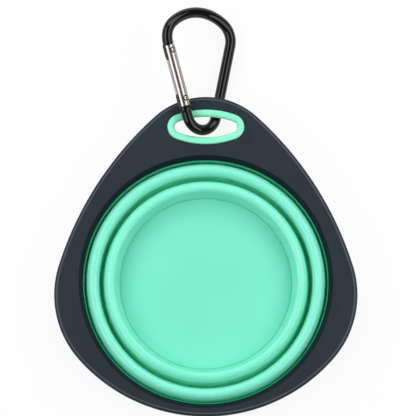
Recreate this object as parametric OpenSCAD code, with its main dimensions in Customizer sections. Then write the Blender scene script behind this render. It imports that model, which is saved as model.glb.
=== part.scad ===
// Collapsible travel bowl: a rigid rim plate, a rubber bowl that folds into it and a clip-on carabiner.
// The bowl's axis is Z, the table is the plane z = 0 and the tip of the plate points to +Y.
// The bowl is drawn folded flat, lying on its foot ring.

/* [Plate] */
// Width of the plate beside the opening, out to its widest point
rim_side_w = 13.35; // [12:0.05:16]
// Width of the plate from the opening to the tip
rim_tip_w = 29.35; // [28:0.05:35]
// Width of the plate from the opening to the middle of its broad end
rim_end_w = 5.85; // [4.85:0.05:9]
// Distance from the plate's centre line to the centres of the two corner arcs
corner_x = 25; // [23:0.5:28]
// Distance that those centres lie behind the bowl's axis, towards the broad end
corner_drop = 6.04; // [5:0.01:8]
// Radius of the two long sides
side_arc_r = 156; // [140:2:190]
// Radius of the tip
tip_arc_r = 35; // [32:1:38]
// Thickness of the plate
plate_t = 3; // [2.6:0.1:3.2]
// Height of the plate's top above the table with the bowl folded
plate_top_h = 13.7; // [13.4:0.1:16]
// Bevel of the plate's outer edge
plate_bevel = 0.8; // [0.4:0.1:1.2]
// Depth of the moulded hollow in the plate's underside
recess_d = 1; // [0.4:0.1:1.4]
// Width of the rim left round that hollow
recess_rim_w = 2.6; // [2:0.1:4]

/* [Opening] */
// Radius of the plate's opening at the foot of its slope
opening_r = 56.65; // [48:0.05:66]
// Width of the slope round the opening
slope_w = 2.05; // [1.5:0.05:2.6]
// Drop of the slope from the plate's top
slope_drop = 1.8; // [1:0.1:2.2]
// Thickness of the collar that the rubber is moulded over
collar_t = 1.2; // [0.8:0.1:1.6]
// Height of that collar below the plate
collar_h = 2.6; // [2:0.1:4]
// Number of windows through the collar
window_count = 16; // [8:1:24]
// Angle that one window spans
window_span = 8; // [4:1:12]
// Height of a window
window_h = 1.2; // [0.8:0.1:1.6]
// Width of the flat land round the collar
land_w = 2; // [1:0.1:2.6]

/* [Rubber bowl] */
// Width of rubber lip that shows inside the slope
lip_show = 0.45; // [0.3:0.05:0.8]
// Step from the foot of the slope down to the lip
lip_step = 0.15; // [0.1:0.05:0.4]
// Wall of the rubber at the rim and the outer band
wall_t = 1; // [0.8:0.1:1.2]
// Rubber wrapped round the outside and the foot of the collar
wrap_t = 1; // [0.6:0.1:1.4]
// Gap between the lip and the outer crest
lip_gap = 1.2; // [0.9:0.1:1.6]
// Width of the two crests
crest_w = 5.8; // [5:0.1:6.2]
// Depth of the rubber under a crest
crest_t = 2; // [1.6:0.1:2.6]
// Rounding of a crest's two shoulders
crest_round = 1.5; // [1:0.1:1.5]
// Height of the plate's top above the crests
crest_drop = 0.8; // [0.4:0.1:1.4]
// Width of the groove between the two crests
groove_w = 2.3; // [1.9:0.1:2.8]
// Thickness of the two folding webs
fold_t = 0.8; // [0.6:0.1:0.9]
// Gap beside the outer web at the foot of its fold
outer_valley_w = 0.4; // [0.3:0.1:0.8]
// Gap beside the inner web at the foot of its fold
inner_valley_w = 1.2; // [0.8:0.1:1.6]
// Height of the folds' undersides above the table
valley_h = 1.6; // [1:0.1:2.4]
// Gap left between a web's top and the crest that it carries
fold_gap = 0.3; // [0.2:0.05:0.5]
// Inward slope of the cup's wall, from the crest to the floor
cup_wall_run = 1.35; // [0.8:0.05:2]
// Thickness of the cup's wall
cup_wall_t = 1.4; // [1:0.1:1.8]
// Thickness of the floor
floor_t = 2.2; // [1.6:0.1:3]
// Height that the floor stands over the foot of the wall
floor_step = 0.3; // [0.2:0.05:0.5]
// Height of the foot ring
foot_h = 1.2; // [0.8:0.1:2]
// Width of the foot ring's ledge under the floor
foot_ledge_w = 1.5; // [1:0.1:3]

/* [Slot] */
// Distance from the opening to the slot's centre
slot_gap = 15.35; // [14.35:0.05:17.35]
// Half the length of the free slot
slot_half_l = 14.5; // [13:0.1:15]
// Room across the slot on each side of the carabiner's bar
bar_play = 2.25; // [2.2:0.05:2.5]
// Radius of the slot's two ends
slot_end_r = 2.6; // [2:0.1:3]
// Width of the rubber liner round the slot
liner_w = 3.5; // [3:0.1:4]
// Height that the liner stands proud of the plate on each side
liner_proud = 0.15; // [0.05:0.05:0.3]
// Bevel of the liner's edges
liner_bevel = 0.7; // [0.4:0.1:1]
// Depth of the plate's tongue inside the liner
tongue_d = 1.1; // [0.8:0.1:1.4]
// Thickness of that tongue
tongue_t = 0.9; // [0.6:0.1:1.2]

/* [Carabiner] */
// Diameter of the carabiner's bar
bar_d = 5; // [4.6:0.1:5]
// Centre-line radius of the narrow loop
loop_r = 8; // [8:0.1:8.6]
// Centre-line radius of the two shoulders
shoulder_r = 9.6; // [9:0.1:10.4]
// Centre-line radius of the wide crown
crown_r = 22.3; // [20:0.1:25]
// Half the width over the centre lines of the shoulders
shoulder_reach = 17.5; // [16.5:0.1:18]
// Distance from the loop's centre to the shoulders' centres
leg_span = 34.6; // [30:0.1:41]
// Turn of the carabiner about its long axis, gate side up
clip_twist = 33; // [32:1:38]
// Turn of the carabiner about the vertical, crown towards -X
clip_yaw = 2; // [0:1:4]
// Sideways place of the loop's centre
clip_x = -2; // [-3:0.5:-1]
// Distance from the slot's centre back to the far end of the loop's centre line
loop_sink = 1.4; // [1.2:0.05:1.8]

/* [Gate] */
// Outside diameter of the gate's tube
gate_d = 5.5; // [5.3:0.1:5.8]
// Wall of the gate's tube
gate_wall = 0.55; // [0.45:0.05:0.65]
// Length of the gate's leg left above the tube
gate_stop = 1.15; // [0.8:0.05:1.5]
// Length of plain bar between the loop's bend and the gate
gate_start = 5.3; // [5.1:0.1:5.6]
// Distance from the gate's lower end to the hinge rivet
hinge_inset = 3.45; // [3.3:0.05:3.8]
// Distance from the gate's upper end to the latch rivet
latch_inset = 2.5; // [2.2:0.1:3]
// Diameter of the rivets' shanks
rivet_d = 1.6; // [1.4:0.1:1.8]
// Diameter of the rivets' heads
rivet_head_d = 2.9; // [2.6:0.1:3.1]
// Height that a rivet's head stands proud of the gate
rivet_proud = 0.15; // [0.05:0.05:0.3]
// Thickness of a rivet's head
rivet_head_t = 0.5; // [0.4:0.05:0.6]
// Thickness of the bar's two tangs
tang_t = 1.8; // [1.4:0.1:2]
// Height that the tangs stand proud of the gate's outer side
tang_proud = 0.2; // [0.1:0.05:0.4]
// Length of the latch tang inside the gate
latch_tang_len = 5.8; // [5:0.1:6.4]
// Diameter of the collar below the gate
collar_ring_d = 5.9; // [5.6:0.1:6.2]
// Length of that collar
collar_ring_len = 2.3; // [1.6:0.1:3]
// Running clearance of the hinge rivet in its tang
pin_play = 0.05; // [0.03:0.01:0.08]
// Clearance of the latch rivet in its notch
notch_play = 0.15; // [0.1:0.01:0.25]
// Side clearance of a tang in its gate slot
tang_play = 0.15; // [0.1:0.01:0.2]
// Clearance at the gate's two ends
end_play = 0.3; // [0.2:0.05:0.4]
// Wire of the gate's spring
spring_wire_d = 0.4; // [0.3:0.05:0.5]
// Outside diameter of the gate's spring
spring_d = 3.6; // [3:0.1:3.8]
// Gap between the crimp that holds the gate's spring and the latch slot
crimp_gap = 4.35; // [3.85:0.05:6.85]
// Turns of the gate's spring
spring_turns = 8; // [5:1:10]
// Diameter of the plunger's head
plunger_d = 3.8; // [3.4:0.1:4]
// Thickness of the plunger's head
plunger_t = 1; // [0.8:0.1:1.4]
// Diameter of the plunger's stem
plunger_stem_d = 2; // [1.4:0.1:2.2]
// Length of the plunger's stem
plunger_stem_len = 5; // [3:0.5:7]
// Thickness of the crimp that holds the spring's far end
crimp_t = 0.8; // [0.6:0.1:1.2]
// Hole through that crimp
crimp_hole_d = 2.4; // [1.6:0.1:2.8]

/* [Hidden] */
$fn = 96;

// How far a cutting shape runs past the face that it cuts
overrun = 0.5;
// Where two swept stretches join, one laps over the other, which is drawn this much smaller all round
join_lap = 0.02;
join_step = 0.01;
// Width of the strip along the plate's outline that the arcs make, and the chords inside it
edge_band_w = 3;
chord_count = 8;

// Heights of the folded bowl
plate_low_h = plate_top_h - plate_t;
plate_mid_h = plate_top_h - plate_t / 2;
slope_low_h = plate_top_h - slope_drop;
lip_top_h = slope_low_h - lip_step;
collar_low_h = plate_low_h - collar_h;
window_mid_h = plate_low_h - collar_h / 2;
valley_top_h = valley_h + fold_t;
crest_top_h = plate_top_h - crest_drop;
crest_mid_h = crest_top_h - crest_round;
crest_low_h = crest_top_h - crest_t;
floor_top_h = foot_h + floor_t;

// Radii from the rim inwards
lip_r = opening_r - lip_show;
collar_r = lip_r + wall_t;
wrap_r = collar_r + collar_t + wrap_t;
outer_crest_r = lip_r - lip_gap;
outer_skirt_r = outer_crest_r - crest_w;
inner_crest_r = outer_skirt_r - groove_w;
cup_r = inner_crest_r - crest_w;
floor_r = cup_r - cup_wall_run;
// Step of a web's top from the crest's widest radius, where the crest's shoulder is cut off
fold_inset = crest_round - sqrt(pow(crest_round, 2) - pow(crest_t - crest_round, 2));

// The plate's outline: it follows the opening, and the arc of its broad end touches both corner arcs
corner_arc_r = opening_r + rim_side_w - corner_x;
end_depth = opening_r + rim_end_w - corner_drop;
end_arc_r = (pow(end_depth, 2) + pow(corner_x, 2) - pow(corner_arc_r, 2)) / (2 * (end_depth - corner_arc_r));
end_c = [0, end_arc_r - end_depth - corner_drop];
corner_c = [corner_x, -corner_drop];
tip_c = [0, opening_r + rim_tip_w - tip_arc_r];

// The arcs' other centres, and the angles at which one arc passes into the next
corner_to_tip = tip_c - corner_c;
corner_tip_gap = norm(corner_to_tip);
corner_tip_dir = corner_to_tip / corner_tip_gap;
side_along = (pow(side_arc_r - corner_arc_r, 2) - pow(side_arc_r - tip_arc_r, 2) + pow(corner_tip_gap, 2))
    / (2 * corner_tip_gap);
side_off = sqrt(pow(side_arc_r - corner_arc_r, 2) - pow(side_along, 2));
side_c = corner_c + side_along * corner_tip_dir + side_off * [-corner_tip_dir.y, corner_tip_dir.x];
end_corner_a = atan2(corner_c.y - end_c.y, corner_c.x - end_c.x);
corner_side_a = atan2(corner_c.y - side_c.y, corner_c.x - side_c.x);
side_tip_a = atan2(tip_c.y - side_c.y, tip_c.x - side_c.x);

// Each arc is a list: centre, radius, starting angle, angle that it spans
end_arc = [end_c, end_arc_r, -180 - end_corner_a, 180 + 2 * end_corner_a];
corner_arc = [corner_c, corner_arc_r, end_corner_a, corner_side_a - end_corner_a];
side_arc = [side_c, side_arc_r, corner_side_a, side_tip_a - corner_side_a];
tip_arc = [tip_c, tip_arc_r, side_tip_a, 180 - 2 * side_tip_a];

// The slot's place and outline: two long arcs and two round ends that touch
slot_y = opening_r + slot_gap;
slot_half_w = bar_d / 2 + bar_play;
slot_end_x = slot_half_l - slot_end_r;
flank_r = (pow(slot_end_x, 2) + pow(slot_half_w, 2) - pow(slot_end_r, 2)) / (2 * (slot_half_w - slot_end_r));
flank_off = flank_r - slot_half_w;
flank_a = atan2(flank_off, slot_end_x);
end_lap_a = atan(join_lap / slot_end_r);
liner_low_h = plate_low_h - liner_proud;
liner_h = plate_t + 2 * liner_proud;
tongue_low_h = plate_mid_h - tongue_t / 2;

// The carabiner's place, and its shape in its own plane: there the loop's centre is the origin and the
// crown points to +Y
clip_y = slot_y + loop_r - loop_sink;
shoulder_x = shoulder_reach - shoulder_r;
leg_centres = norm([shoulder_x, leg_span]);
leg_lean = atan2(shoulder_x, leg_span) + asin((shoulder_r - loop_r) / leg_centres);
leg_len = sqrt(pow(leg_centres, 2) - pow(shoulder_r - loop_r, 2));
crown_half_a = asin(shoulder_x / (crown_r - shoulder_r));
crown_y = leg_span - sqrt(pow(crown_r - shoulder_r, 2) - pow(shoulder_x, 2));
crown_lap_a = atan(join_lap / crown_r);

// Places along the gate's leg, measured from the loop's bend
gate_end = leg_len - gate_stop;
hinge_s = gate_start + hinge_inset;
latch_s = gate_end - latch_inset;
latch_r = latch_s - hinge_s;
tang_end_s = gate_end - latch_tang_len;
gate_r = gate_d / 2;
gate_bore_r = gate_r - gate_wall;
tang_out = gate_r + tang_proud;
// Reach of the hinge tang past its rivet, inside the gate's bore
tang_tip_r = gate_bore_r;
// Radius that the gate's lower corners sweep about the hinge rivet
sweep_r = norm([gate_r, hinge_inset]) + end_play / 2;
gate_slot_w = tang_t + 2 * tang_play;
// The latch slot in the gate runs this far past the tang, so that the tang can swing out of it
latch_slot_s = tang_end_s - 2 * end_play;
// Reach of the latch tang towards the inside of the gate's bore
latch_tang_in = sqrt(pow(gate_bore_r, 2) - pow(tang_t / 2, 2)) - tang_play;
plunger_s = hinge_s + tang_tip_r + end_play;
spring_s = plunger_s + plunger_t;
crimp_s = latch_slot_s - crimp_gap - crimp_t;
spring_len = crimp_s - spring_s;
head_seat = gate_r + rivet_proud - rivet_head_t;
// Sides of the spring's wire and steps in one turn of it
wire_sides = 6;
turn_steps = 14;

// Points along an arc that is moved inwards by inset
function arc_points(arc, inset) =
    [for (i = [0 : chord_count])
        let (a = arc[2] + arc[3] * i / chord_count)
        arc[0] + (arc[1] - inset) * [cos(a), sin(a)]];

// The same points mirrored in the plate's centre line, in reverse order
function mirrored(points) = [for (i = [len(points) - 1 : -1 : 0]) [-points[i].x, points[i].y]];

// A shape swept along one arc of the plate's outline and lap past its ends
module along_arc(arc, lap) {
    lap_a = atan(lap / arc[1]);
    translate([arc[0].x, arc[0].y, 0])
        rotate_extrude(angle = arc[3] + 2 * lap_a, start = arc[2] - lap_a) children();
}

// Upright strip of the outline, from edge_band_w inside the edge out to the edge, with a bevelled edge
module strip_profile(r, h, bevel) {
    polygon([
        [r - edge_band_w, 0], [r - bevel, 0], [r, bevel], [r, h - bevel], [r - bevel, h],
        [r - edge_band_w, h]]);
}

// What lies inside the strips, as an upright prism
module outline_core(inset, h) {
    i = inset + edge_band_w / 2;
    sides = concat(arc_points(corner_arc, i), arc_points(side_arc, i));
    linear_extrude(height = h)
        polygon(concat(arc_points(end_arc, i), sides, arc_points(tip_arc, i), mirrored(sides)));
}

// A slab of the plate's outline, moved inwards by inset: the corners and the tip lap over the rest
module outline_slab(inset, h, bevel) {
    outline_core(inset, h);
    along_arc(end_arc, 0) strip_profile(end_arc[1] - inset - join_step, h, bevel);
    along_arc(tip_arc, join_lap) strip_profile(tip_arc[1] - inset, h, bevel);
    for (m = [0, 1]) mirror([m, 0, 0]) {
        along_arc(corner_arc, join_lap) strip_profile(corner_arc[1] - inset, h, bevel);
        along_arc(side_arc, 0) strip_profile(side_arc[1] - inset - join_step, h, bevel);
    }
}

// The slot's outline, grown by grow on all sides: its ends lap over its flanks
module slot_outline(grow) {
    arc_r = flank_r + grow - join_step;
    middle_x = arc_r * cos(flank_a);
    intersection() {
        translate([0, slot_y - flank_off]) circle(r = arc_r);
        translate([0, slot_y + flank_off]) circle(r = arc_r);
        translate([0, slot_y]) square([2 * middle_x, 2 * (slot_half_w + grow)], center = true);
    }
    for (x = [-slot_end_x, slot_end_x]) translate([x, slot_y]) circle(r = slot_end_r + grow);
}

// The windows through the collar, or the pegs that fill them and join the rubber on both sides
module collar_windows() {
    for (i = [0 : window_count - 1])
        rotate_extrude(angle = window_span, start = i * 360 / window_count)
            translate([collar_r - overrun, window_mid_h - window_h / 2])
                square([collar_t + 2 * overrun, window_h]);
}

// The rigid plate: a rounded triangle with a sloped opening, a collar for the rubber and a slot at the tip
module rim_plate() {
    cut_h = plate_t + 2 * overrun;
    color("#31393f")
    difference() {
        union() {
            difference() {
                translate([0, 0, plate_low_h]) outline_slab(0, plate_t, plate_bevel);
                // The moulded hollow in the underside
                difference() {
                    translate([0, 0, plate_low_h - overrun]) outline_slab(recess_rim_w, recess_d + overrun, 0);
                    translate([0, 0, plate_low_h - 2 * overrun]) cylinder(r = wrap_r + land_w, h = cut_h);
                    translate([0, 0, plate_low_h - 2 * overrun])
                        linear_extrude(height = cut_h) slot_outline(liner_w + land_w);
                }
            }
            rotate_extrude() translate([collar_r, collar_low_h]) square([collar_t, collar_h + recess_d]);
        }
        // The opening and its slope
        rotate_extrude() polygon([
            [0, plate_low_h - overrun], [opening_r, plate_low_h - overrun], [opening_r, slope_low_h],
            [opening_r + slope_w, plate_top_h], [opening_r + slope_w, plate_top_h + overrun],
            [0, plate_top_h + overrun]]);
        collar_windows();
        // The slot, with a tongue left at its middle height for the liner
        translate([0, 0, plate_low_h - overrun])
            linear_extrude(height = cut_h) slot_outline(liner_w - tongue_d);
        translate([0, 0, plate_low_h - overrun])
            linear_extrude(height = tongue_low_h - plate_low_h + overrun) slot_outline(liner_w);
        translate([0, 0, tongue_low_h + tongue_t])
            linear_extrude(height = plate_top_h - tongue_low_h - tongue_t + overrun) slot_outline(liner_w);
    }
}

// The rubber that is moulded over the collar, with the upright wall that hangs from it
module rim_lip() {
    color("#1f9a72") {
        rotate_extrude() polygon([
            [lip_r, valley_top_h], [lip_r, lip_top_h], [opening_r, lip_top_h], [opening_r, plate_low_h],
            [collar_r, plate_low_h], [collar_r, collar_low_h], [collar_r + collar_t, collar_low_h],
            [collar_r + collar_t, plate_low_h], [wrap_r, plate_low_h], [wrap_r, collar_low_h - wrap_t],
            [collar_r, collar_low_h - wrap_t], [collar_r, valley_top_h]]);
        collar_windows();
    }
}

// A folding web: it hangs from a wall's foot and climbs inwards to just under the next crest
module fold(wall_r, valley_w, crest_r) {
    foot_r = wall_r - valley_w;
    head_r = crest_r - fold_inset;
    head_h = crest_low_h - fold_gap;
    rotate_extrude() polygon([
        [wall_r + wall_t, valley_h], [wall_r + wall_t, valley_top_h], [foot_r, valley_top_h],
        [head_r, head_h], [head_r - fold_t, head_h], [foot_r - fold_t, valley_top_h],
        [foot_r - fold_t, valley_h]]);
}

// Section of a crest: flat on top, round at both shoulders and cut off flat below
module crest_profile(outer_r) {
    inner_r = outer_r - crest_w;
    intersection() {
        union() {
            translate([inner_r + crest_round, crest_low_h]) square([crest_w - 2 * crest_round, crest_t]);
            for (r = [inner_r + crest_round, outer_r - crest_round])
                translate([r, crest_mid_h]) circle(r = crest_round);
        }
        translate([inner_r, crest_low_h]) square([crest_w, crest_t]);
    }
}

module upper_fold() {
    color("#5fdcb8") fold(lip_r, outer_valley_w, outer_crest_r);
}

// The outer ring of the bowl: a crest with a wall hanging from its inner side
module outer_band() {
    color("#8ff5d4") rotate_extrude() {
        crest_profile(outer_crest_r);
        translate([outer_skirt_r, valley_top_h]) square([wall_t, crest_mid_h - valley_top_h]);
    }
}

module lower_fold() {
    color("#5fdcb8") fold(outer_skirt_r, inner_valley_w, inner_crest_r);
}

// The inner ring of the bowl: a crest, the cup's wall and the foot ring that it stands on
module inner_band() {
    color("#8ff5d4") rotate_extrude() {
        crest_profile(inner_crest_r);
        polygon([
            [cup_r, crest_mid_h], [floor_r, floor_top_h - floor_step], [floor_r, foot_h],
            [floor_r - foot_ledge_w, foot_h], [floor_r - foot_ledge_w, 0], [floor_r + cup_wall_t, 0],
            [floor_r + cup_wall_t, foot_h], [cup_r + cup_wall_t, crest_mid_h]]);
    }
}

module bowl_floor() {
    color("#7ae8cc") translate([0, 0, foot_h]) cylinder(r = floor_r, h = floor_t);
}

// Section of the slot's liner, bevelled and grooved for the plate's tongue, drawn smaller by step all round
module liner_section(step) {
    groove_h = tongue_low_h - liner_low_h;
    difference() {
        polygon([
            [liner_bevel, step], [liner_w - liner_bevel, step], [liner_w - step, liner_bevel],
            [liner_w - step, liner_h - liner_bevel], [liner_w - liner_bevel, liner_h - step],
            [liner_bevel, liner_h - step], [step, liner_h - liner_bevel], [step, liner_bevel]]);
        translate([liner_w - tongue_d - step, groove_h - step])
            square([tongue_d + overrun, tongue_t + 2 * step]);
    }
}

// The rubber ring that lines the slot: two flanks and the two ends that lap over them
module slot_liner() {
    color("#8ff5d4") translate([0, slot_y, liner_low_h]) for (m = [0, 1]) {
        mirror([0, m, 0]) translate([0, -flank_off, 0])
            rotate_extrude(angle = 180 - 2 * flank_a, start = flank_a)
                translate([flank_r, 0]) liner_section(join_step);
        mirror([m, 0, 0]) translate([slot_end_x, 0, 0])
            rotate_extrude(angle = 2 * (flank_a + end_lap_a), start = -flank_a - end_lap_a)
                translate([slot_end_r, 0]) liner_section(0);
    }
}

// Puts a shape drawn in the carabiner's own plane at the carabiner's place in the slot
module clip_place() {
    translate([clip_x, clip_y, plate_mid_h]) rotate([0, clip_twist, clip_yaw]) children();
}

// Puts a shape on the gate's leg: +Y runs along the leg and +X points to the inside
module gate_leg() {
    translate([-loop_r * cos(leg_lean), -loop_r * sin(leg_lean), 0]) rotate([0, 0, leg_lean]) children();
}

// A round rod along the leg, from one place to another
module leg_rod(from_s, to_s, d) {
    translate([0, from_s, 0]) rotate([-90, 0, 0]) cylinder(d = d, h = to_s - from_s);
}

// A bend of the bar about a centre
module bar_bend(centre, r, start_a, span_a, d) {
    translate([centre.x, centre.y, 0]) rotate_extrude(angle = span_a, start = start_a)
        translate([r, 0]) circle(d = d);
}

// Outline of the tang that carries the hinge rivet
module hinge_tang_outline() {
    translate([-tang_out, gate_start - collar_ring_len])
        square([tang_out, hinge_s + tang_tip_r - gate_start + collar_ring_len]);
    translate([0, gate_start - collar_ring_len]) square([tang_tip_r, hinge_inset + collar_ring_len]);
    translate([0, hinge_s]) circle(r = tang_tip_r);
}

// Outline of the hooked tang at the latch: its notch follows the latch rivet's path
module latch_tang_outline() {
    notch_half = rivet_d / 2 + notch_play;
    difference() {
        translate([-tang_out, tang_end_s]) square([tang_out + latch_tang_in, leg_len - tang_end_s]);
        intersection() {
            translate([0, hinge_s]) difference() {
                circle(r = latch_r + notch_half);
                circle(r = latch_r - notch_half);
            }
            translate([-notch_half, tang_end_s]) square([gate_d, leg_len - tang_end_s]);
        }
    }
}

// The bar with its loop, spine, crown and the two tangs that the gate hinges and latches on
module carabiner_body() {
    bend_d = bar_d - 2 * join_step;
    color("#101012") clip_place() {
        bar_bend([0, 0], loop_r, 180 + leg_lean, 180 - 2 * leg_lean, bend_d);
        mirror([1, 0, 0]) gate_leg() leg_rod(-join_lap, leg_len + join_lap, bar_d);
        for (m = [0, 1]) mirror([m, 0, 0])
            bar_bend([shoulder_x, leg_span], shoulder_r, -leg_lean, 90 - crown_half_a + leg_lean, bend_d);
        bar_bend([0, crown_y], crown_r, 90 - crown_half_a - crown_lap_a, 2 * (crown_half_a + crown_lap_a), bar_d);
        gate_leg() {
            // The lower end, hollowed where the gate's corners sweep past
            difference() {
                union() {
                    leg_rod(-join_lap, gate_start, bar_d);
                    leg_rod(gate_start - collar_ring_len, gate_start, collar_ring_d);
                }
                translate([0, hinge_s, 0]) cylinder(r = sweep_r, h = 2 * bar_d, center = true);
            }
            difference() {
                linear_extrude(height = tang_t, center = true) hinge_tang_outline();
                translate([0, hinge_s, 0])
                    cylinder(d = rivet_d + 2 * pin_play, h = 2 * tang_t, center = true);
            }
            leg_rod(gate_end + end_play, leg_len + join_lap, bar_d);
            linear_extrude(height = tang_t, center = true) latch_tang_outline();
        }
    }
}

// The tube of the gate, slotted at both ends for the tangs and crimped inside for the spring
module gate_tube() {
    color("#c9cbcd") clip_place() gate_leg() {
        difference() {
            leg_rod(gate_start, gate_end, gate_d);
            leg_rod(gate_start - overrun, gate_end + overrun, 2 * gate_bore_r);
            // The hinge slot is open on both sides
            translate([-gate_d, gate_start - overrun, -gate_slot_w / 2])
                cube([2 * gate_d, hinge_inset + tang_tip_r + end_play + overrun, gate_slot_w]);
            // The latch slot is open on the outer side only
            translate([-gate_d, latch_slot_s, -gate_slot_w / 2])
                cube([gate_d, gate_end - latch_slot_s + overrun, gate_slot_w]);
            for (s = [hinge_s, latch_s]) translate([0, s, 0]) {
                cylinder(d = rivet_d, h = 2 * gate_d, center = true);
                for (m = [0, 1]) mirror([0, 0, m]) translate([0, 0, head_seat])
                    cylinder(d = rivet_head_d, h = gate_r);
            }
        }
        difference() {
            leg_rod(crimp_s, crimp_s + crimp_t, 2 * gate_bore_r);
            leg_rod(crimp_s - overrun, crimp_s + crimp_t + overrun, crimp_hole_d);
        }
    }
}

// A rivet across the gate at s: a shank with a low round head at each end
module rivet(s) {
    dome_r = (pow(rivet_head_d / 2, 2) + pow(rivet_head_t, 2)) / (2 * rivet_head_t);
    clip_place() gate_leg() translate([0, s, 0]) {
        cylinder(d = rivet_d, h = 2 * head_seat, center = true);
        for (m = [0, 1]) mirror([0, 0, m]) intersection() {
            translate([0, 0, head_seat]) cylinder(d = rivet_head_d, h = rivet_head_t);
            translate([0, 0, head_seat + rivet_head_t - dome_r]) sphere(r = dome_r);
        }
    }
}

module hinge_rivet() {
    color("#b9bbbd") rivet(hinge_s);
}

module latch_rivet() {
    color("#b9bbbd") rivet(latch_s);
}

// A coil spring with its axis along Y, starting at the origin
module coil(d, wire_d, len, turns) {
    mean_r = (d - wire_d) / 2;
    rise = len - wire_d;
    rings = turns * turn_steps;
    points = [for (i = [0 : rings], j = [0 : wire_sides - 1])
        let (
            a = 360 * i / turn_steps,
            b = 360 * j / wire_sides,
            r = mean_r + wire_d / 2 * cos(b))
        [r * cos(a), wire_d / 2 + rise * i / rings + wire_d / 2 * sin(b), r * sin(a)]];
    skin = [for (i = [0 : rings - 1], j = [0 : wire_sides - 1])
        let (k = (j + 1) % wire_sides, p = i * wire_sides, q = p + wire_sides)
        [p + j, p + k, q + k, q + j]];
    start_cap = [for (j = [wire_sides - 1 : -1 : 0]) j];
    end_cap = [for (j = [0 : wire_sides - 1]) rings * wire_sides + j];
    polyhedron(points = points, faces = concat(skin, [start_cap, end_cap]), convexity = 10);
}

module gate_spring() {
    color("#a9abad") clip_place() gate_leg() translate([0, spring_s, 0])
        coil(spring_d, spring_wire_d, spring_len, spring_turns);
}

// The plunger that the spring presses on the hinge tang: a head with a stem inside the coil
module spring_plunger() {
    color("#8f9193") clip_place() gate_leg() {
        leg_rod(plunger_s, plunger_s + plunger_t, plunger_d);
        leg_rod(plunger_s, spring_s + plunger_stem_len, plunger_stem_d);
    }
}

rim_plate();
rim_lip();
upper_fold();
outer_band();
lower_fold();
inner_band();
bowl_floor();
slot_liner();
carabiner_body();
gate_tube();
hinge_rivet();
latch_rivet();
gate_spring();
spring_plunger();
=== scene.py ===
"""Studio scene of a folded travel bowl with its carabiner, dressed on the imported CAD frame."""

from __future__ import annotations

import logging
import math
from dataclasses import dataclass, field
from enum import Enum, IntEnum
from typing import Callable, Iterable, Sequence

import bmesh
import bpy
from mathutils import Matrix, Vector

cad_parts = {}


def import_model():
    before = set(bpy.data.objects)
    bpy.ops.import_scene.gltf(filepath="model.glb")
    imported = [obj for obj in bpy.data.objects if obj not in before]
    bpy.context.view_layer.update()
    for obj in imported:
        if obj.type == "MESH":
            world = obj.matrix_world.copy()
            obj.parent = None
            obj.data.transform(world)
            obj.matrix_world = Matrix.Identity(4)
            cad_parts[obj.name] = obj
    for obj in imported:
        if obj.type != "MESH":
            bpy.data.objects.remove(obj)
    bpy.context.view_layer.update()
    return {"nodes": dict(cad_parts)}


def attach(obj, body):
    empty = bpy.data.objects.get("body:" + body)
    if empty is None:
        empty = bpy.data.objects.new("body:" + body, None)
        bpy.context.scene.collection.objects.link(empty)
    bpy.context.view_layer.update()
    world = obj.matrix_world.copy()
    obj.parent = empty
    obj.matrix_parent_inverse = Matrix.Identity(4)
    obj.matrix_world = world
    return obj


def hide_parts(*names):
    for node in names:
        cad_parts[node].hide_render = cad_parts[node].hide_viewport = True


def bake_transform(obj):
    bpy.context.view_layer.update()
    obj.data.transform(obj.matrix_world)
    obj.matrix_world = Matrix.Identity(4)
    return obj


log = logging.getLogger("travel_bowl")

MM = 0.001
NOISE_MIDDLE = (0.3, 0.7)
RANGE_ENDS = ("From Min", "From Max", "To Min", "To Max")
TURN_STEPS = 300
Point2 = tuple[float, float]
Point3 = tuple[float, float, float]
Colour = tuple[float, float, float]


class Grain(Enum):
    """Waves under a finish's fine grain: size in grains, octaves, and depth in depths of the grain."""

    MOULDED = (14.0, 2.0, 2.0)
    LACQUERED = (30.0, 1.0, 1.0)
    BRUSHED = (0.0, 0.0, 0.0)


class PlateZone(IntEnum):
    """The zones of the rim plate that have a finish of their own."""

    PLASTIC = 0
    # a painted highlight along the plate's top edge
    LINE = 1
    # painted shade, with a painted green reflection of the bowl, on the opening's slope
    SLOPE = 2


class RivetZone(IntEnum):
    """The zones of a rivet that have a finish of their own."""

    STEEL = 0
    # the seam and the dimple, in painted shade
    SEAM_SHADE = 1


def linear(colour: Colour) -> tuple[float, float, float, float]:
    """Turns a colour of 0 to 255 per channel into the renderer's linear values.

    Args:
        colour: red, green and blue as they look on a screen.

    Returns:
        The linear colour with an alpha of 1.
    """
    parts = [c / 255 for c in colour]
    low = [p / 12.92 if p <= 0.04045 else ((p + 0.055) / 1.055) ** 2.4 for p in parts]
    return (low[0], low[1], low[2], 1.0)


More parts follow.
